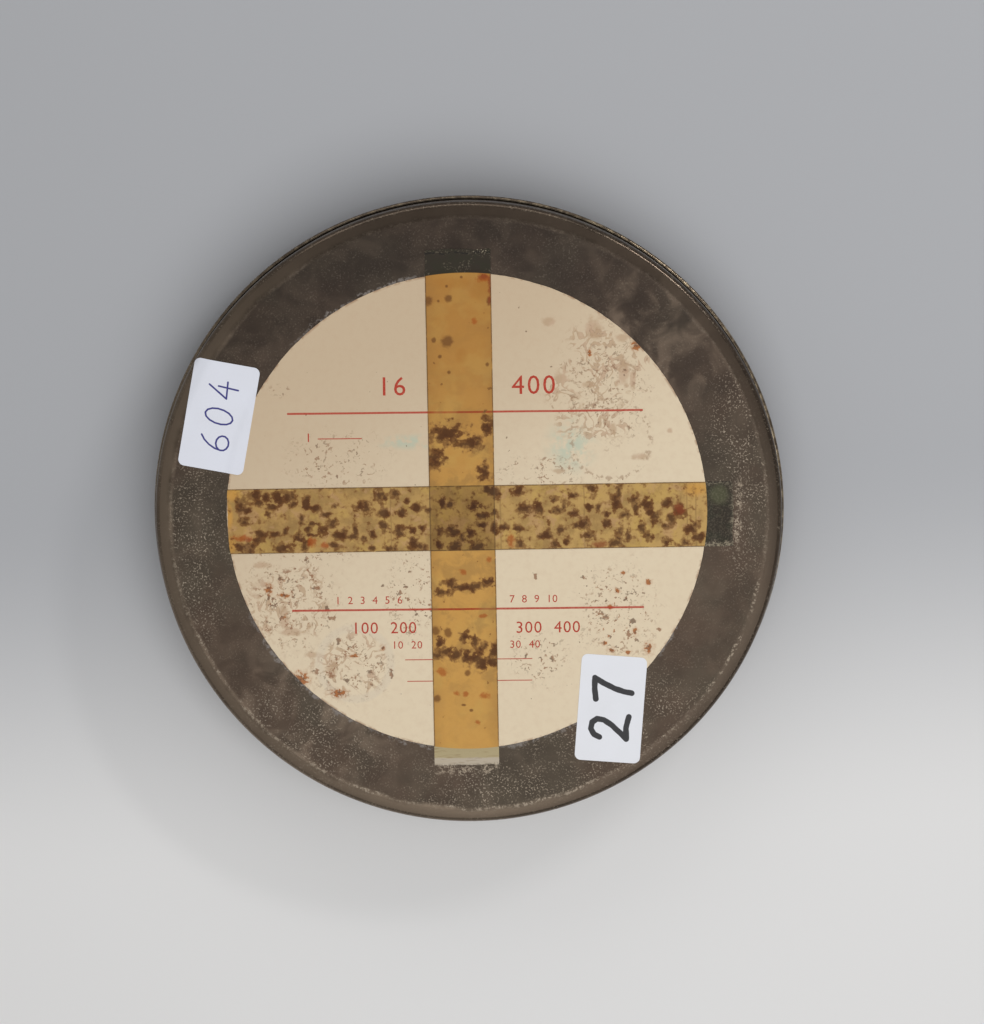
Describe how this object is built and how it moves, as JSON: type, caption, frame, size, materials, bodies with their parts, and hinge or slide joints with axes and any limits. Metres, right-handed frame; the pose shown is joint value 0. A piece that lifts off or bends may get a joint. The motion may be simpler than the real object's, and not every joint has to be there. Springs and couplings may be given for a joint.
{
  "type": "film reel can",
  "caption": "Round flat steel film can with a slip-over lid, paper label, crossed tapes and stickers, holding a flanged reel of wound film",
  "frame": {"origin": "centre of the can's flat bottom, on the surface that the can lies on", "axes": "+Z along the can's axis, out of the lid; +Y towards the top of the label; +X towards the label's right"},
  "size_m": [0.185, 0.185, 0.0259],
  "materials": {
    "aged_tin": "dark grey-brown aged tinplate, finely scratched, worn pale along the rims",
    "label_paper": "cream paper with brown foxing and water stains, two plain red rules",
    "amber_tape": "aged amber tape with dark brown blotches",
    "sticker_paper": "smooth white sticker paper",
    "reel_steel": "dull plated steel sheet",
    "rivet_steel": "plated steel rivets",
    "film": "edge of tightly wound dark film",
    "leader": "plain off-white film leader",
    "leader_tape": "white paper tape"
  },
  "bodies": {
    "base": {"can_base": "aged_tin"},
    "reel": {"reel_flange_lower": "reel_steel", "reel_flange_upper": "reel_steel", "reel_hub": "reel_steel", "spindle_plate_lower": "reel_steel", "spindle_plate_upper": "reel_steel", "hub_rivets": "rivet_steel", "film_roll": "film", "film_leader": "leader", "leader_tape": "leader_tape"},
    "lid": {"lid": "aged_tin", "paper_label": "label_paper", "tape_across": "amber_tape", "tape_down": "amber_tape", "sticker_left": "sticker_paper", "sticker_right": "sticker_paper"}
  },
  "joints": [
    {"name": "reel_lift", "type": "slide", "parent": "base", "child": "reel", "axis": [0, 0, 1], "range_m": [0, 0.04]},
    {"name": "lid_lift", "type": "slide", "parent": "reel", "child": "lid", "axis": [0, 0, 1], "range_m": [0, 0.06]}
  ]
}
